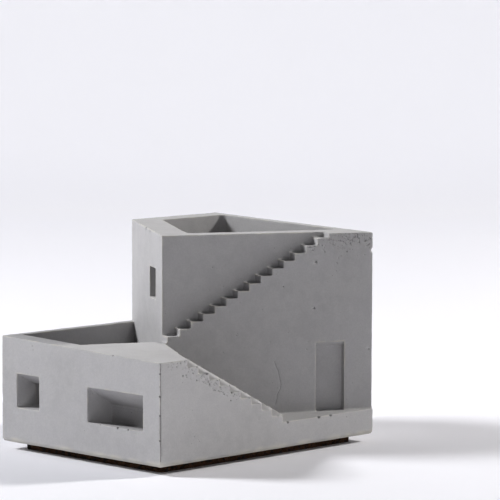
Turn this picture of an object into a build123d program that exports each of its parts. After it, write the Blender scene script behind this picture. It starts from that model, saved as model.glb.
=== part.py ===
from build123d import *
import math
import os

# Desk organiser cast in one piece of concrete, shaped like a small stepped building.
# Millimetres, +Z up.  The origin is the centre of the footprint on the table.
# The long front face looks along -Y, the face with the two windows along -X.

# footprint and heights of the casting
width = 105.0
depth = 80.5
low_front_height = 35.5      # platform above the underside, at the front face
tower_front_height = 72.5    # tower rim above the underside, at the front face
back_rise = 2.0              # the upper faces are this much higher at the back
base_edge_round = 1.5

# pad under the casting
pad_thickness = 2.5
film_thickness = 0.2
pad_inset = 5.2
pad_corner = 3.0

# stair wall, turned in plan from the front face
stair_wall_angle = 22.8
tower_corner_x = -17.9
tower_corner_y = -4.85
stair_width = 5.0
left_wall_angle = 31.6       # tower's left wall, measured from +Y toward +X

# ascending stair on the tower
first_tread_height = 38.5    # above the underside
tread_rise = 2.5
tread_run = 4.35
first_riser = 4.7            # from the tower's front left corner along the wall
tread_count = 14

# descending stair in the front block
landing_height = 9.3         # above the underside
step_count = 10
first_nosing_x = -39.7       # on the front face
step_run = 5.09

# doorway on the landing
door_left = 56.4             # along the stair wall
door_width = 11.0
door_height = 24.7
door_depth = 2.6
lintel_drop = 1.5

# cup
left_wall_thickness = 10.8
front_wall_thickness = 6.0
right_wall_thickness = 3.5
back_wall_thickness = 7.3
cup_floor = 10.0             # above the underside
cup_corner = 2.5

# tray behind the platform
tray_rim_left = 7.0
tray_rim_back = 3.0
tray_floor = 11.0            # above the underside
tray_draft = 2.4             # how far the left, back and front walls lean in at the floor

# openings in the left face
niche_front = 8.4            # from the front face
niche_length = 27.5
niche_sill = 11.7            # above the underside
niche_height = 12.1
niche_depth = 11.2
niche_top_drop = 7.0
niche_sill_drop = 1.6
window_front = 61.1
window_length = 11.5
window_sill = 12.8
window_height = 12.0
window_top_drop = 5.0

# slot through the tower's left wall
slot_start = 10.9            # from the tower's front left corner
slot_length = 10.1
slot_sill = 49.8
slot_height = 11.0

half_w = width / 2
half_d = depth / 2
underside = pad_thickness + film_thickness
low_front = underside + low_front_height
low_back = low_front + back_rise
tower_front = underside + tower_front_height
tower_back = tower_front + back_rise
over = 5.0                   # how far the large cutting shapes run past the casting
margin = 1.0                 # the same for the small ones

# plan directions: along the stair wall, into it, along the left wall, into it
along = Vector(math.cos(math.radians(stair_wall_angle)), -math.sin(math.radians(stair_wall_angle)))
inward = Vector(math.sin(math.radians(stair_wall_angle)), math.cos(math.radians(stair_wall_angle)))
left_along = Vector(math.sin(math.radians(left_wall_angle)), math.cos(math.radians(left_wall_angle)))
left_inward = Vector(math.cos(math.radians(left_wall_angle)), -math.sin(math.radians(left_wall_angle)))
corner = Vector(tower_corner_x, tower_corner_y)


def meet(p, d, q, e):
    """Point where the plan line through p along d crosses the plan line through q along e."""
    det = d.X * e.Y - d.Y * e.X
    t = ((q.X - p.X) * e.Y - (q.Y - p.Y) * e.X) / det
    return Vector(p.X + d.X * t, p.Y + d.Y * t)


def plan(points):
    return [(p.X, p.Y) for p in points]


axis_x = Vector(1, 0)
axis_y = Vector(0, 1)
right_edge = Vector(half_w, 0)
back_edge = Vector(0, half_d)
lower_wall = corner - inward * stair_width        # front plane of the stair's outer side

# tower outline
tower_right_front = meet(corner, along, right_edge, axis_y)
tower_left_back = meet(corner, left_along, back_edge, axis_x)
tower_outline = [corner, tower_right_front, Vector(half_w, half_d), tower_left_back]

# cup outline
cup_left = corner + left_inward * left_wall_thickness
cup_front = corner + inward * front_wall_thickness
cup_right = Vector(half_w - right_wall_thickness, 0)
cup_back = Vector(0, half_d - back_wall_thickness)
cup_outline = [
    meet(cup_left, left_along, cup_front, along),
    meet(cup_front, along, cup_right, axis_y),
    meet(cup_right, axis_y, cup_back, axis_x),
    meet(cup_left, left_along, cup_back, axis_x),
]


def tray_outline(lean):
    """Tray outline with the left, back and front walls moved in by lean."""
    rim_left = Vector(-half_w + tray_rim_left + lean, 0)
    rim_back = Vector(0, half_d - tray_rim_back - lean)
    front = corner + inward * lean
    return [
        meet(front, along, rim_left, axis_y),
        meet(front, along, corner, left_along),
        meet(rim_back, axis_x, corner, left_along),
        Vector(rim_left.X, rim_back.Y),
    ]


wall_plane = Plane(origin=(corner.X, corner.Y, 0), x_dir=(along.X, along.Y, 0), z_dir=(-inward.X, -inward.Y, 0))

# outline of the ascending stair in the wall plane: along the wall, up
last_riser = first_riser + tread_run * (tread_count - 1)
wall_length = (tower_right_front - corner).length
stair_outline = [(0, underside)]
for k in range(tread_count):
    start = 0 if k == 0 else first_riser + tread_run * (k - 1)
    level = underside + first_tread_height + tread_rise * k
    stair_outline.append((start, level))
    stair_outline.append((first_riser + tread_run * k, level))
stair_outline.append((last_riser, tower_back + over))
stair_outline.append((wall_length + over, tower_back + over))
stair_outline.append((wall_length + over, underside))

# tower and ascending stair, cut to the footprint and to the sloping rim
with BuildPart() as tower:
    with BuildSketch(Plane.XY.offset(underside)):
        Polygon(*plan(tower_outline), align=None)
    extrude(amount=tower_back + over - underside)
    with BuildSketch(wall_plane):
        Polygon(*stair_outline, align=None)
    extrude(amount=stair_width)
    with BuildSketch(Plane.YZ.offset(-half_w)):
        Polygon(
            (-half_d, underside),
            (half_d, underside),
            (half_d, tower_back),
            (-half_d, tower_front),
            align=None,
        )
    extrude(amount=width, mode=Mode.INTERSECT)

# room above the descending stair and the landing, in front of the stair wall
with BuildPart() as stair_room:
    for k in range(step_count):
        level = low_front - (low_front_height - landing_height) * (k + 1) / step_count
        nosing = Vector(first_nosing_x + step_run * k, -half_d)
        front_left = meet(nosing, left_along, Vector(0, -half_d - over), axis_x)
        wall_left = meet(nosing, left_along, lower_wall, along)
        wall_right = meet(lower_wall, along, Vector(half_w + over, 0), axis_y)
        with BuildSketch(Plane.XY.offset(level)):
            Polygon(*plan([front_left, Vector(half_w + over, -half_d - over), wall_right, wall_left]), align=None)
        extrude(amount=low_back + over - level)

with BuildPart() as concrete_body:
    # low block with its sloping upper face
    with BuildSketch(Plane.YZ.offset(-half_w)):
        Polygon(
            (-half_d, underside),
            (half_d, underside),
            (half_d, low_back),
            (-half_d, low_front),
            align=None,
        )
    extrude(amount=width)
    add(stair_room.part, mode=Mode.SUBTRACT)
    add(tower.part)

    # rounded lower edge
    fillet(concrete_body.edges().filter_by_position(Axis.Z, underside, underside), radius=base_edge_round)

    # tray
    with BuildSketch(Plane.XY.offset(underside + tray_floor)):
        Polygon(*plan(tray_outline(tray_draft)), align=None)
    with BuildSketch(Plane.XY.offset(low_front)):
        Polygon(*plan(tray_outline(0)), align=None)
    loft(ruled=True, mode=Mode.SUBTRACT)
    with BuildSketch(Plane.XY.offset(low_front)):
        Polygon(*plan(tray_outline(0)), align=None)
    extrude(amount=back_rise + margin, mode=Mode.SUBTRACT)

    # cup
    with BuildSketch(Plane.XY.offset(underside + cup_floor)) as cup_section:
        Polygon(*plan(cup_outline), align=None)
        fillet(cup_section.vertices(), radius=cup_corner)
    extrude(amount=tower_back + over - underside - cup_floor, mode=Mode.SUBTRACT)

    # doorway, with a lintel that slopes down toward the back
    door_sill = underside + landing_height
    door_top = door_sill + door_height
    door_plane = Plane(
        origin=(lower_wall.X + along.X * door_left, lower_wall.Y + along.Y * door_left, 0),
        x_dir=(inward.X, inward.Y, 0),
        z_dir=(along.X, along.Y, 0),
    )
    with BuildSketch(door_plane):
        Polygon(
            (-margin, door_sill),
            (door_depth, door_sill),
            (door_depth, door_top - lintel_drop),
            (0, door_top),
            (-margin, door_top),
            align=None,
        )
    extrude(amount=door_width, mode=Mode.SUBTRACT)

    # deep niche in the left face
    niche_low = underside + niche_sill
    niche_high = niche_low + niche_height
    with BuildSketch(Plane.XZ.offset(half_d - niche_front)):
        Polygon(
            (-half_w - margin, niche_low),
            (-half_w, niche_low),
            (-half_w + niche_depth, niche_low - niche_sill_drop),
            (-half_w + niche_depth, niche_high - niche_top_drop),
            (-half_w, niche_high),
            (-half_w - margin, niche_high),
            align=None,
        )
    extrude(amount=-niche_length, mode=Mode.SUBTRACT)

    # small window through the left wall into the tray
    window_low = underside + window_sill
    window_high = window_low + window_height
    window_reach = tray_rim_left + tray_draft
    with BuildSketch(Plane.XZ.offset(half_d - window_front)):
        Polygon(
            (-half_w - margin, window_low),
            (-half_w + window_reach, window_low),
            (-half_w + window_reach, window_high - window_top_drop),
            (-half_w, window_high),
            (-half_w - margin, window_high),
            align=None,
        )
    extrude(amount=-window_length, mode=Mode.SUBTRACT)

    # slot through the tower's left wall into the cup
    slot_plane = Plane(
        origin=(corner.X, corner.Y, 0),
        x_dir=(left_along.X, left_along.Y, 0),
        z_dir=(left_inward.X, left_inward.Y, 0),
    )
    with BuildSketch(slot_plane.offset(-margin)):
        with Locations((slot_start, underside + slot_sill)):
            Rectangle(slot_length, slot_height, align=(Align.MIN, Align.MIN))
    extrude(amount=left_wall_thickness + 2 * margin, mode=Mode.SUBTRACT)

pad_width = width - 2 * pad_inset
pad_depth = depth - 2 * pad_inset

with BuildPart() as base_pad:
    with BuildSketch(Plane.XY):
        RectangleRounded(pad_width, pad_depth, pad_corner)
    extrude(amount=pad_thickness)

with BuildPart() as pad_adhesive:
    with BuildSketch(Plane.XY.offset(pad_thickness)):
        RectangleRounded(pad_width, pad_depth, pad_corner)
    extrude(amount=film_thickness)

os.makedirs("parts", exist_ok=True)

concrete_body.part.label = "concrete_body"
base_pad.part.label = "base_pad"
pad_adhesive.part.label = "pad_adhesive"
export_step(concrete_body.part, "parts/concrete_body.step")
export_step(base_pad.part, "parts/base_pad.step")
export_step(pad_adhesive.part, "parts/pad_adhesive.step")
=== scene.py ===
import math
import random

import bmesh
import bpy
import numpy as np
from mathutils import Matrix, Vector, noise
from mathutils.bvhtree import BVHTree
from mathutils.kdtree import KDTree


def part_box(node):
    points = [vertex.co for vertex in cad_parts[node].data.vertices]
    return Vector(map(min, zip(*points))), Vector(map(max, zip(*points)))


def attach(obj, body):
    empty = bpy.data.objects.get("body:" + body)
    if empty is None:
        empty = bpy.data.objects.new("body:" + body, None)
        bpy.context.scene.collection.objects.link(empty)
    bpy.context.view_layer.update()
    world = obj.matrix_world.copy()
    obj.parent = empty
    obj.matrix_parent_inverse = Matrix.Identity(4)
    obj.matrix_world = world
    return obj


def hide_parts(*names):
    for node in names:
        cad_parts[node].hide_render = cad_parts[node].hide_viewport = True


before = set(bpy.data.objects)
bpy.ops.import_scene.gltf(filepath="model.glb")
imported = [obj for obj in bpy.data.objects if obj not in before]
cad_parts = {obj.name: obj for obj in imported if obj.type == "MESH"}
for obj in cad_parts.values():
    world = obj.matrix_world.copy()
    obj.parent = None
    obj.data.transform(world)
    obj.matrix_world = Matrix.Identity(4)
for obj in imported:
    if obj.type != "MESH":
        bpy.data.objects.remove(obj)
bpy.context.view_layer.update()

MM = 0.001

# ---------------------------------------------------------------- camera

LENS = 221.05                      # on a 36 mm sensor
PITCH, YAW, ROLL = math.radians(5.711), math.radians(45.204), math.radians(-0.155)
CAMERA_AT = Vector((-750.33, -775.17, 177.51)) * MM


def make_camera():
    forward = Vector((math.sin(YAW) * math.cos(PITCH), math.cos(YAW) * math.cos(PITCH), -math.sin(PITCH)))
    level = Vector((math.cos(YAW), -math.sin(YAW), 0))
    down = forward.cross(level)
    right = math.cos(ROLL) * level + math.sin(ROLL) * down
    below = math.cos(ROLL) * down - math.sin(ROLL) * level
    data = bpy.data.cameras.new("camera")
    data.lens, data.sensor_width = LENS, 36
    data.clip_start, data.clip_end = 0.05, 60
    camera = bpy.data.objects.new("camera", data)
    turn = Matrix((right, -below, -forward)).transposed().to_4x4()
    camera.matrix_world = Matrix.Translation(CAMERA_AT) @ turn
    bpy.context.scene.collection.objects.link(camera)
    bpy.context.scene.camera = camera


# ---------------------------------------------------------------- light

def compass(azimuth, elevation=0):
    """Unit vector toward an azimuth, which runs from +Y toward +X, and an elevation, in degrees."""
    a, e = math.radians(azimuth), math.radians(elevation)
    return Vector((math.sin(a) * math.cos(e), math.cos(a) * math.cos(e), math.sin(e)))


def area_light(name, azimuth, elevation, distance, size, power, colour):
    """A square soft light aimed at the object."""
    way = compass(azimuth, elevation)
    data = bpy.data.lights.new(name, "AREA")
    data.shape, data.size, data.energy, data.color = "SQUARE", size, power, colour
    light = bpy.data.objects.new(name, data)
    light.location = Vector((0, 0, 0.03)) + way * distance
    light.rotation_mode = "QUATERNION"
    light.rotation_quaternion = way.to_track_quat("Z", "Y")
    bpy.context.scene.collection.objects.link(light)


def make_light():
    area_light("key", -38, 38, 1.25, 0.3, 13.2, (0.97, 0.98, 1.0))
    area_light("front", -152, 8, 1.4, 0.4, 1.7, (0.97, 0.98, 1.0))
    area_light("fill", 118, 36, 1.25, 0.16, 9.5, (1.0, 0.985, 0.96))
    world = bpy.data.worlds.new("studio")
    world.use_nodes = True
    world.node_tree.nodes["Background"].inputs["Color"].default_value = (0.95, 0.97, 1.0, 1)
    world.node_tree.nodes["Background"].inputs["Strength"].default_value = 0.03
    bpy.context.scene.world = world
    bpy.context.scene.view_settings.view_transform = "Standard"
    bpy.context.scene.view_settings.look = "Medium High Contrast"


# ---------------------------------------------------------------- node helpers

def new_material(name):
    """An empty node material, its tree and its Principled shader."""
    mat = bpy.data.materials.new(name)
    mat.use_nodes = True
    tree = mat.node_tree
    return mat, tree, tree.nodes["Principled BSDF"]


def add_node(tree, kind, **values):
    """A shader node with its properties and input values set by name."""
    node = tree.nodes.new("ShaderNode" + kind)
    for key, value in values.items():
        if hasattr(node, key):
            setattr(node, key, value)
        else:
            node.inputs[key.replace("_", " ")].default_value = value
    return node


def math_node(tree, operation, a, b=None, clamp=False):
    """Math node on two sockets or numbers."""
    node = tree.nodes.new("ShaderNodeMath")
    node.operation, node.use_clamp = operation, clamp
    for socket, value in zip(node.inputs, (a, b)):
        if value is None:
            continue
        if isinstance(value, (int, float)):
            socket.default_value = value
        else:
            tree.links.new(value, socket)
    return node.outputs[0]


def spread(tree, value, low, high, to_low=0.0, to_high=1.0, smooth=True):
    """Maps low..high to to_low..to_high, clamped."""
    node = tree.nodes.new("ShaderNodeMapRange")
    node.interpolation_type = "SMOOTHSTEP" if smooth else "LINEAR"
    tree.links.new(value, node.inputs["Value"])
    for key, number in (("From Min", low), ("From Max", high), ("To Min", to_low), ("To Max", to_high)):
        node.inputs[key].default_value = number
    return node.outputs["Result"]


def mix_colour(tree, factor, a, b, blend="MIX"):
    """Colour mix of two sockets or colours by a socket or number."""
    node = tree.nodes.new("ShaderNodeMix")
    node.data_type, node.blend_type = "RGBA", blend
    for key, value in ((0, factor), (6, a), (7, b)):
        if hasattr(value, "node"):
            tree.links.new(value, node.inputs[key])
        else:
            node.inputs[key].default_value = value
    return node.outputs[2]


# ---------------------------------------------------------------- stage

STAGE_FLAT, STAGE_CURVE, STAGE_HEIGHT = 1.25, 0.5, 1.3     # metres


def make_stage():
    """A round white floor that curves up into a wall; the wall glows behind the object as painted light and
    is painted near-black in front as painted shade.
    """
    profile = [(0.001, 0), (0.3, 0), (0.8, 0)]
    steps = 12
    for k in range(steps + 1):
        t = math.pi / 2 * k / steps
        profile.append((STAGE_FLAT + STAGE_CURVE * math.sin(t), STAGE_CURVE * (1 - math.cos(t))))
    profile.append((STAGE_FLAT + STAGE_CURVE, STAGE_HEIGHT))
    turns = 96
    bm = bmesh.new()
    angles = [math.tau * j / turns for j in range(turns)]
    rings = [[bm.verts.new((r * math.cos(a), r * math.sin(a), z)) for a in angles] for r, z in profile]
    for inner, outer in zip(rings, rings[1:]):
        for j in range(turns):
            k = (j + 1) % turns
            bm.faces.new((inner[j], outer[j], outer[k], inner[k])).smooth = True
    bm.faces.new(rings[0])
    mesh = bpy.data.meshes.new("stage")
    bm.to_mesh(mesh)
    bm.free()
    stage = bpy.data.objects.new("stage", mesh)
    bpy.context.scene.collection.objects.link(stage)
    mat, tree, shader = new_material("stage_white")
    place = add_node(tree, "TexCoord").outputs["Object"]
    split = add_node(tree, "SeparateXYZ")
    tree.links.new(place, split.inputs[0])
    away = compass(45)
    along = math_node(tree, "ADD", math_node(tree, "MULTIPLY", split.outputs["X"], away.x),
                      math_node(tree, "MULTIPLY", split.outputs["Y"], away.y))
    behind = spread(tree, along, -0.6, 0.5)
    up = spread(tree, split.outputs["Z"], 0.02, 0.4)
    # painted shade: the wall rising in front of the object is near-black, standing in for dark surroundings
    front = math_node(tree, "MULTIPLY", up, math_node(tree, "SUBTRACT", 1.0, behind))
    colour = mix_colour(tree, front, (0.855, 0.85, 0.885, 1), (0.03, 0.03, 0.032, 1))
    tree.links.new(colour, shader.inputs["Base Color"])
    # painted light: the wall behind the object glows, more strongly the farther behind it lies
    backdrop_glow = spread(tree, along, 0.3, 1.6)
    tree.links.new(math_node(tree, "MULTIPLY", backdrop_glow, 0.27), shader.inputs["Emission Strength"])
    shader.inputs["Emission Color"].default_value = (0.96, 0.965, 1.0, 1)
    shader.inputs["Roughness"].default_value = 0.7
    shader.inputs["Specular IOR Level"].default_value = 0.2
    mesh.materials.append(mat)


# ---------------------------------------------------------------- concrete casting

FINE = 0.36 * MM                   # spacing of the casting's fine mesh
FACE_BUDGET = 185000               # triangles left on the casting
WALL_TURN = math.radians(22.8)     # the stair wall, turned in plan from the front face
SHARP_TURN = math.radians(20)      # a CAD edge that turns by more than this is a sharp edge
CREASE_TURN = math.radians(38)     # shading breaks where the mesh turns by more than this
EDGE_STEP = 0.1 * MM               # spacing of the points on the CAD's sharp edges
EDGE_REACH = 0.6 * FINE            # fine points this near a sharp edge are moved onto it
WEAR_ROUNDS = 4                    # smoothing rounds that wear the edges
HIGHLIGHT_RIM_WIDTH = 0.7 * MM               # painted highlight: pale band along convex edges
FOOT_HIGHLIGHT_FADE = 2.2 * MM                # how fast the painted highlight band above the foot fades
rng = random.Random(7)

# chips and air holes seen on the casting: place in mm, radius and depth in mm
SEAM_HOLE_DEPTH = 0.45
SEAM_HOLES = [
    (-52.3, -40.0, z, radius, SEAM_HOLE_DEPTH)
    for z, radius in ((34.5, 0.34), (26.9, 0.42), (20.4, 0.4), (12.0, 0.36), (30.2, 0.25))
]
SILL_CHIPS = [(-52.4, -10.8, 14.3, 0.4, 0.3), (-52.3, -19.4, 14.1, 0.5, 0.7), (-52.3, -24.6, 14.0, 0.4, 0.5)]
EDGE_CHIPS = [
    (52.2, -39.9, 68.8, 1.0, 0.7), (-3.4, 18.7, 76.2, 0.8, 0.4), (-7.1, 12.7, 75.9, 0.7, 0.4),
    (-52.4, -17.0, 38.5, 0.35, 0.25), (-17.9, -5.0, 49.2, 0.4, 0.4), (24.5, -39.9, 12.0, 0.9, 0.6),
    (30.5, -40.0, 12.0, 0.8, 0.5), (-30.9, -39.9, 32.9, 0.8, 0.5), (-18.6, -39.8, 25.0, 0.7, 0.5),
]
WALL_HOLES = [(31.4, -31.0, 49.0, 0.5, 0.6), (32.0, -31.3, 65.4, 0.5, 0.6), (20.5, -26.4, 57.0, 0.35, 0.4)]
CRACK = [
    (17.6, -25.1, 30.5), (18.9, -25.7, 27.0), (19.9, -26.1, 22.2), (18.6, -25.6, 18.6), (17.9, -25.3, 15.4),
]
SEAM = [(-52.2, -40.2, 5.0), (-52.2, -40.2, 38.0)]
NICHE_LINE = [(-41.3, -20.0, 18.3), (-41.3, -4.8, 18.5)]
# each line: places in mm, sideways sway, width, depth and the strength of its painted shade
LINES = [(CRACK, 0.25, 0.34, 0.07, 0.55), (SEAM, 0.12, 0.34, 0.12, 0.85), (NICHE_LINE, 0.1, 0.34, 0.14, 0.35)]


def read_mesh(mesh):
    """Vertex places, edges and normals as arrays."""
    points = np.empty(len(mesh.vertices) * 3)
    mesh.vertices.foreach_get("co", points)
    edges = np.empty(len(mesh.edges) * 2, dtype=np.int64)
    mesh.edges.foreach_get("vertices", edges)
    normals = np.empty(len(mesh.vertices) * 3)
    mesh.vertex_normals.foreach_get("vector", normals)
    return points.reshape(-1, 3), edges.reshape(-1, 2), normals.reshape(-1, 3)


def smoothed(points, edges, rounds, amount=0.5):
    """Points moved toward the mean of their neighbours. amount is one number or one per point."""
    count = np.bincount(edges.ravel(), minlength=len(points)).clip(1)
    for _ in range(rounds):
        mean = np.empty_like(points)
        for axis in range(3):
            column = points[:, axis]
            total = np.bincount(edges[:, 0], column[edges[:, 1]], len(points))
            total += np.bincount(edges[:, 1], column[edges[:, 0]], len(points))
            mean[:, axis] = total / count
        points = points + (mean - points) * amount
    return points


def field(points, scale, seed):
    """Smooth noise from -1 to 1 at each point. scale is the size of its patches."""
    table = np.random.default_rng(seed).uniform(-1, 1, (64, 64, 64))
    place = points / scale + 31.7
    cell = np.floor(place).astype(int)
    part = place - cell
    part = part * part * (3 - 2 * part)
    value = 0
    for corner in np.ndindex(2, 2, 2):
        at = (cell + corner) % 64
        weight = np.prod(np.where(corner, part, 1 - part), axis=1)
        value = value + weight * table[at[:, 0], at[:, 1], at[:, 2]]
    return value


def set_points(mesh, points):
    mesh.vertices.foreach_set("co", points.ravel())
    mesh.update()


def applied(piece, kind, **values):
    """Applies one modifier to the piece and returns its new mesh."""
    modifier = piece.modifiers.new(kind.lower(), kind)
    for key, value in values.items():
        setattr(modifier, key, value)
    bpy.context.view_layer.update()
    graph = bpy.context.evaluated_depsgraph_get()
    mesh = bpy.data.meshes.new_from_object(piece.evaluated_get(graph))
    piece.modifiers.clear()
    piece.data = mesh
    return mesh


def shade(mesh):
    """Smooth shading that breaks at the creases."""
    mesh.polygons.foreach_set("use_smooth", [True] * len(mesh.polygons))
    mesh.set_sharp_from_angle(angle=CREASE_TURN)


def search_tree(places):
    """A tree that finds the nearest of some places and its index."""
    tree = KDTree(len(places))
    for index, place in enumerate(places):
        tree.insert(place, index)
    tree.balance()
    return tree


def surface_of(mesh):
    return BVHTree.FromPolygons([v.co for v in mesh.vertices], [p.vertices for p in mesh.polygons])


def sharp_edge_points(mesh, convex_only=False):
    """A search tree of points along the sharp edges of the CAD surface."""
    bm = bmesh.new()
    bm.from_mesh(mesh)
    bmesh.ops.remove_doubles(bm, verts=bm.verts, dist=0.001 * MM)
    places = []
    for edge in bm.edges:
        if len(edge.link_faces) == 2 and edge.calc_face_angle(0) > SHARP_TURN:
            if convex_only and not edge.is_convex:
                continue
            a, b = (v.co for v in edge.verts)
            count = max(1, math.ceil((b - a).length / EDGE_STEP))
            places += [a.lerp(b, k / count) for k in range(count + 1)]
    bm.free()
    return search_tree(places)


def pulled_to(points, surface, edge_tree, reach):
    """Points moved onto the CAD surface, and onto its sharp edges where these are within reach."""
    pulled = points.copy()
    for index, point in enumerate(points):
        place, _, away = edge_tree.find(point)
        pulled[index] = place if away < reach else surface.find_nearest(point)[0]
    return pulled


def stair_line(x):
    """Height in mm of the line through the descending stair's nosings, along the front face."""
    low_end, high_end = (11.2, 12.0), (-39.7, 38.5)
    return high_end[1] + (x - high_end[0]) * (low_end[1] - high_end[1]) / (low_end[0] - high_end[0])


def pitted_zones(points, normals, each):
    """Dense fine pits in the two places where air rose to the top of the cast: radius and depth in mm."""
    x, y, z = points.T / MM
    under_stair = stair_line(x) - z
    zones = (
        (y < -40) & (x < 4) & (z > 22) & (under_stair > 0.5) & (under_stair < 8),
        (x > 27) & (y < -30) & (z > 67) & (normals[:, 1] < -0.8),
    )
    holes = []
    for zone in zones:
        chosen = np.flatnonzero(zone)
        weight = np.where(z[chosen] > 40, (z[chosen] - 66) ** 2, (8.5 - under_stair[chosen]) ** 2)
        picked = np.random.default_rng(17).choice(chosen, each, replace=False, p=weight / weight.sum())
        for index in picked:
            radius = 0.17 + 0.17 * rng.random() ** 3
            holes.append((*(points[index] / MM), radius, radius * 1.2))
    return holes


def crumbled_nosings(count):
    """Small chips along the front ends of the descending stair's nosings."""
    chips = []
    for _ in range(count):
        x = rng.uniform(-39, 10)
        z = stair_line(x) + rng.uniform(-1.6, 0.6)
        chips.append((x, -40.1, z, rng.uniform(0.4, 0.8), rng.uniform(0.2, 0.45)))
    return chips


def scattered_holes(points, normals, how_many):
    """Air holes at seeded places, radius and depth in mm. Few on the left face and the low block's top."""
    holes = []
    tries = np.random.default_rng(11).permutation(len(points))
    for index in tries:
        x, y, z = points[index] / MM
        if abs(normals[index]).max() < 0.9 and rng.random() < 0.5:
            continue
        crowd = 0.1
        if x < -52 or (z > 38 and z < 41 and normals[index][2] > 0.9):
            crowd = 0.02
        elif z < 14:
            crowd = 0.05
        if rng.random() > crowd:
            continue
        radius = 0.16 + 0.2 * rng.random() ** 4
        holes.append((x, y, z, radius, radius))
        if len(holes) == how_many:
            break
    return holes


def line_points(places, sway, width, depth, shade_strength):
    """Points in mm along a run of places, swaying along the stair wall's direction."""
    points = []
    for a, b in zip(places, places[1:]):
        count = math.ceil(math.dist(a, b) / 0.2)
        for k in range(count + 1):
            x, y, z = (p + (q - p) * k / count for p, q in zip(a, b))
            drift = sway * noise.noise(Vector((x * 0.3, 3.1, z * 0.7)))
            points.append((x + drift, y - drift * math.tan(WALL_TURN), z))
    return points, width, depth, shade_strength


def refine(mesh, marks):
    """Divides the faces near each mark (x, y, z, radius in mm), so that small holes are round."""
    bm = bmesh.new()
    bm.from_mesh(mesh)
    bm.faces.ensure_lookup_table()
    tree = search_tree([face.calc_center_median() for face in bm.faces])
    chosen = set()
    for x, y, z, radius in marks:
        for _, index, _ in tree.find_range(Vector((x, y, z)) * MM, (radius * 1.25 + 0.25) * MM):
            chosen.add(index)
    edges = {edge for index in chosen for edge in bm.faces[index].edges}
    bmesh.ops.subdivide_edges(bm, edges=list(edges), cuts=2, use_grid_fill=True)
    bm.to_mesh(mesh)
    bm.free()


def worn_mesh(piece):
    """The CAD shape as a fine mesh, with its sharp edges kept and then unevenly rounded by wear."""
    source = piece.data
    mesh = applied(piece, "REMESH", mode="VOXEL", voxel_size=FINE, adaptivity=0)
    points, edges, _ = read_mesh(mesh)
    points = pulled_to(points, surface_of(source), sharp_edge_points(source), EDGE_REACH)
    wear = np.clip(field(points, 6 * MM, 1) * 0.6 + field(points, 1.7 * MM, 2) * 0.5, 0, 1)
    front_steps = (points[:, 1] < -38.5 * MM) & (points[:, 0] > -42 * MM) & (points[:, 2] > 9 * MM)
    wear[front_steps] = 0.2 + 0.7 * wear[front_steps]
    set_points(mesh, smoothed(points, edges, WEAR_ROUNDS, 0.06 + wear[:, None] * 0.45))
    return mesh


def carve(mesh, holes, lines):
    """Gives the surface slight waves and cuts the holes and lines into it."""
    points, _, normals = read_mesh(mesh)
    waves = field(points, 9 * MM, 3) * 0.05 + field(points, 2.2 * MM, 4) * 0.025
    points = points + normals * waves[:, None] * MM
    tree = search_tree(points)
    for x, y, z, radius, depth in holes:
        found = tree.find_range(Vector((x, y, z)) * MM, radius * MM)
        if not found:
            continue
        inward = -np.mean([normals[index] for _, index, _ in found], axis=0)
        inward /= max(np.linalg.norm(inward), 1e-6)
        for _, index, away in found:
            points[index] += inward * depth * MM * (1 - (away / (radius * MM)) ** 2)
    for places, width, depth, _ in lines:
        sunk = {}
        for place in places:
            for _, index, away in tree.find_range(Vector(place) * MM, width * MM):
                sunk[index] = max(sunk.get(index, 0), 1 - away / (width * MM))
        for index, part in sunk.items():
            points[index] -= normals[index] * depth * MM * part
    set_points(mesh, points)


def mark_surface(mesh, rims, holes, lines):
    """Stores each point's painted highlight near a convex rim or the foot, and the painted shade of its hole
    or line, for the material.
    """
    hole_tree = search_tree([Vector(hole[:3]) * MM for hole in holes])
    line_tree = search_tree([Vector(place) * MM for line in lines for place in line[0]])
    strength = [(width * MM, shade_strength) for places, width, _, shade_strength in lines for _ in places]
    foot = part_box("concrete_body")[0][2]
    points = read_mesh(mesh)[0]
    painted_highlight, dark = [], []
    for point, patch in zip(points, field(points, 3 * MM, 5)):
        # painted highlight: a pale rim along convex edges and a pale band just above the foot, uneven in
        # strength
        edge = 1 - rims.find(point)[2] / HIGHLIGHT_RIM_WIDTH
        foot_highlight = 1.4 - (point[2] - foot) / FOOT_HIGHLIGHT_FADE
        painted_highlight.append(max(0, edge, foot_highlight) * (0.6 + 0.4 * patch))
        # painted shade: carved holes and chips darken toward near-black, and each line by its shade strength
        _, index, away = hole_tree.find(point)
        hole = max(0, 1 - away / (holes[index][3] * 1.15 * MM))
        _, index, away = line_tree.find(point)
        line = strength[index][1] * max(0, 1 - away / strength[index][0])
        dark.append(min(1, max(hole * 1.4, line)))
    for name, values in (("painted_highlight", painted_highlight), ("hole", dark)):
        mesh.attributes.new(name, "FLOAT", "POINT").data.foreach_set("value", values)


def make_casting():
    """The concrete casting: the CAD shape with edges rounded by wear, slight waves, chips, air holes and a
    crack.
    """
    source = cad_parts["concrete_body"].data
    piece = bpy.data.objects.new("concrete_casting", source.copy())
    bpy.context.scene.collection.objects.link(piece)
    mesh = worn_mesh(piece)
    points, _, normals = read_mesh(mesh)
    holes = SEAM_HOLES + SILL_CHIPS + EDGE_CHIPS + WALL_HOLES + crumbled_nosings(26)
    holes += pitted_zones(points, normals, 130) + scattered_holes(points, normals, 110)
    lines = [line_points(*line) for line in LINES]
    refine(mesh, [hole[:4] for hole in holes] + [(*place, 0.2) for line in lines for place in line[0]])
    carve(mesh, holes, lines)
    mesh = applied(piece, "DECIMATE", ratio=min(1, FACE_BUDGET / (2 * len(mesh.polygons))))
    shade(mesh)
    mark_surface(mesh, sharp_edge_points(source, convex_only=True), holes, lines)
    mesh.materials.clear()
    mesh.materials.append(concrete_material())
    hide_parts("concrete_body")
    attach(piece, "root")
    print("casting", len(mesh.polygons), "faces")
    return piece


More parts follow.
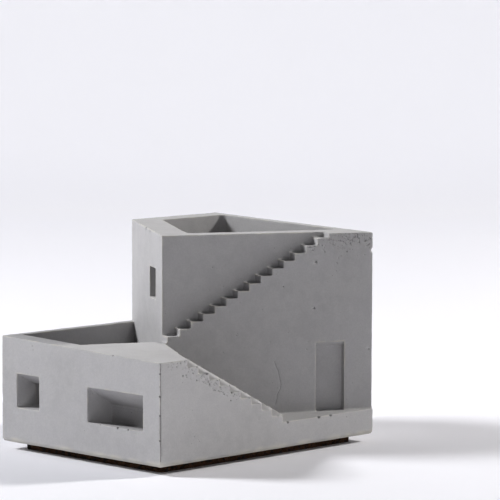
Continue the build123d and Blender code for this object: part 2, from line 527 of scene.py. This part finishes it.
def concrete_material():
    """Pale grey cast concrete: cloudy tone, fine sand grain, small dark air holes, painted shade in the
    carved holes and lines, and a pale painted highlight along the edges and above the foot.
    """
    mat, tree, shader = new_material("cast_concrete")
    place = add_node(tree, "TexCoord").outputs["Object"]

    def noise_at(size, detail=3, rough=0.55):
        node = add_node(tree, "TexNoise", Scale=1 / size, Detail=detail, Roughness=rough)
        tree.links.new(place, node.inputs["Vector"])
        return node.outputs[0]

    cloud = noise_at(30 * MM, 4, 0.6)
    mottle = noise_at(4.5 * MM, 5, 0.62)
    grain = noise_at(0.55 * MM, 2, 0.6)
    cloudy = spread(tree, cloud, 0.35, 0.65)
    colour = mix_colour(tree, cloudy, (0.428, 0.419, 0.421, 1), (0.465, 0.457, 0.462, 1))
    colour = mix_colour(tree, spread(tree, mottle, 0.38, 0.62, 0, 0.5), colour, (0.492, 0.487, 0.483, 1))
    colour = mix_colour(tree, spread(tree, grain, 0.3, 0.7, 0.0, 0.22), colour, (0.33, 0.325, 0.32, 1))
    # painted highlight: pale yellowish tone along convex edges and just above the foot
    painted_highlight = add_node(tree, "Attribute", attribute_name="painted_highlight").outputs["Fac"]
    colour = mix_colour(tree, spread(tree, painted_highlight, 0.15, 0.8, 0, 0.6), colour, (0.60, 0.575, 0.50, 1))
    pores = add_node(tree, "TexVoronoi", Scale=1 / (2.3 * MM), feature="F1")
    tree.links.new(place, pores.inputs["Vector"])
    where = noise_at(9 * MM, 2, 0.5)
    size = spread(tree, where, 0.45, 0.75, 0.0, 0.11, smooth=False)
    pore = math_node(tree, "LESS_THAN", pores.outputs["Distance"], size)
    colour = mix_colour(tree, math_node(tree, "MULTIPLY", pore, 0.5), colour, (0.16, 0.15, 0.15, 1))
    # painted shade: the carved holes, chips, crack, seam and groove are darkened toward near-black
    hole = add_node(tree, "Attribute", attribute_name="hole").outputs["Fac"]
    colour = mix_colour(tree, spread(tree, hole, 0.1, 0.8, 0, 0.75), colour, (0.07, 0.065, 0.062, 1))
    tree.links.new(colour, shader.inputs["Base Color"])
    tree.links.new(spread(tree, mottle, 0.3, 0.7, 0.78, 0.92), shader.inputs["Roughness"])
    shader.inputs["Specular IOR Level"].default_value = 0.3
    rough = math_node(tree, "MULTIPLY", grain, 0.5)
    rough = math_node(tree, "ADD", rough, math_node(tree, "MULTIPLY", mottle, 0.8))
    rough = math_node(tree, "SUBTRACT", rough, math_node(tree, "MULTIPLY", pore, 0.6))
    bump = add_node(tree, "Bump", Strength=0.35, Distance=0.12 * MM)
    tree.links.new(rough, bump.inputs["Height"])
    tree.links.new(bump.outputs["Normal"], shader.inputs["Normal"])
    return mat


# ---------------------------------------------------------------- pad and adhesive

def cut_sheet(name, node, spacing, wander, seed):
    """The node's solid as a die-cut sheet: a finely divided copy whose cut edge wanders."""
    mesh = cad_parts[node].data.copy()
    low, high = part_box(node)
    bm = bmesh.new()
    bm.from_mesh(mesh)
    bmesh.ops.remove_doubles(bm, verts=bm.verts, dist=0.001 * MM)
    for axis, step in ((0, spacing), (1, spacing), (2, 0.8 * MM)):
        across = Vector([1.0 if k == axis else 0.0 for k in range(3)])
        cuts = round((high[axis] - low[axis]) / step)
        for k in range(1, cuts):
            everything = bm.verts[:] + bm.edges[:] + bm.faces[:]
            place = across * (low[axis] + (high[axis] - low[axis]) * k / cuts)
            bmesh.ops.bisect_plane(bm, geom=everything, plane_co=place, plane_no=across, dist=0.0001 * MM)
    bm.to_mesh(mesh)
    bm.free()
    piece = bpy.data.objects.new(name, mesh)
    bpy.context.scene.collection.objects.link(piece)
    points, _, normals = read_mesh(mesh)
    coarse = field(points, 7 * MM, seed) * 0.6 + field(points, 1.3 * MM, seed + 1) * 0.4
    points[:, :2] -= normals[:, :2] * (wander * (0.5 + 0.5 * coarse))[:, None]
    set_points(mesh, points)
    shade(mesh)
    mesh.materials.clear()
    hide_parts(node)
    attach(piece, "root")
    print(name, len(mesh.polygons), "faces")
    return piece


def make_pad():
    """The dark brown pad under the casting, pressed from cork and rubber granules."""
    piece = cut_sheet("cork_rubber_pad", "base_pad", 0.9 * MM, 0.10 * MM, 21)
    mat, tree, shader = new_material("cork_rubber")
    place = add_node(tree, "TexCoord").outputs["Object"]
    granule = add_node(tree, "TexVoronoi", Scale=1 / (1.1 * MM), feature="F1")
    edge = add_node(tree, "TexVoronoi", Scale=1 / (1.1 * MM), feature="DISTANCE_TO_EDGE")
    dust = add_node(tree, "TexNoise", Scale=1 / (0.3 * MM), Detail=3)
    for node in (granule, edge, dust):
        tree.links.new(place, node.inputs["Vector"])
    tone = add_node(tree, "SeparateXYZ")
    tree.links.new(granule.outputs["Color"], tone.inputs[0])
    colour = mix_colour(tree, tone.outputs["X"], (0.050, 0.024, 0.012, 1), (0.085, 0.042, 0.021, 1))
    black = spread(tree, tone.outputs["Y"], 0.72, 0.76)
    colour = mix_colour(tree, black, colour, (0.018, 0.014, 0.012, 1))
    gap = spread(tree, edge.outputs["Distance"], 0.0, 0.09, 0.75, 0.0)
    colour = mix_colour(tree, gap, colour, (0.012, 0.008, 0.006, 1))
    dusty = spread(tree, dust.outputs[0], 0.5, 0.75, 0, 0.25)
    colour = mix_colour(tree, dusty, colour, (0.17, 0.10, 0.06, 1))
    tree.links.new(colour, shader.inputs["Base Color"])
    tree.links.new(spread(tree, tone.outputs["Z"], 0, 1, 0.72, 0.95), shader.inputs["Roughness"])
    shader.inputs["Specular IOR Level"].default_value = 0.25
    height = math_node(tree, "ADD", spread(tree, edge.outputs["Distance"], 0, 0.2),
                       math_node(tree, "MULTIPLY", dust.outputs[0], 0.4))
    bump = add_node(tree, "Bump", Strength=0.6, Distance=0.15 * MM)
    tree.links.new(height, bump.inputs["Height"])
    tree.links.new(bump.outputs["Normal"], shader.inputs["Normal"])
    piece.data.materials.append(mat)
    return piece


def make_film():
    """The thin adhesive film between pad and casting, cloudy and a little glossy, with trapped bubbles."""
    piece = cut_sheet("adhesive_film", "pad_adhesive", 2 * MM, 0.03 * MM, 31)
    mat, tree, shader = new_material("adhesive")
    place = add_node(tree, "TexCoord").outputs["Object"]
    bubble = add_node(tree, "TexVoronoi", Scale=1 / (2.6 * MM), feature="F1")
    haze = add_node(tree, "TexNoise", Scale=1 / (5 * MM), Detail=4)
    for node in (bubble, haze):
        tree.links.new(place, node.inputs["Vector"])
    colour = mix_colour(tree, haze.outputs[0], (0.22, 0.19, 0.14, 1), (0.34, 0.30, 0.23, 1))
    spot = spread(tree, bubble.outputs["Distance"], 0.12, 0.17, 1, 0)
    colour = mix_colour(tree, math_node(tree, "MULTIPLY", spot, 0.5), colour, (0.42, 0.38, 0.31, 1))
    tree.links.new(colour, shader.inputs["Base Color"])
    tree.links.new(spread(tree, haze.outputs[0], 0.3, 0.7, 0.35, 0.6), shader.inputs["Roughness"])
    bump = add_node(tree, "Bump", Strength=0.4, Distance=0.04 * MM)
    tree.links.new(math_node(tree, "ADD", spot, haze.outputs[0]), bump.inputs["Height"])
    tree.links.new(bump.outputs["Normal"], shader.inputs["Normal"])
    piece.data.materials.append(mat)
    return piece


make_camera()
make_light()
make_stage()
make_casting()
make_pad()
make_film()
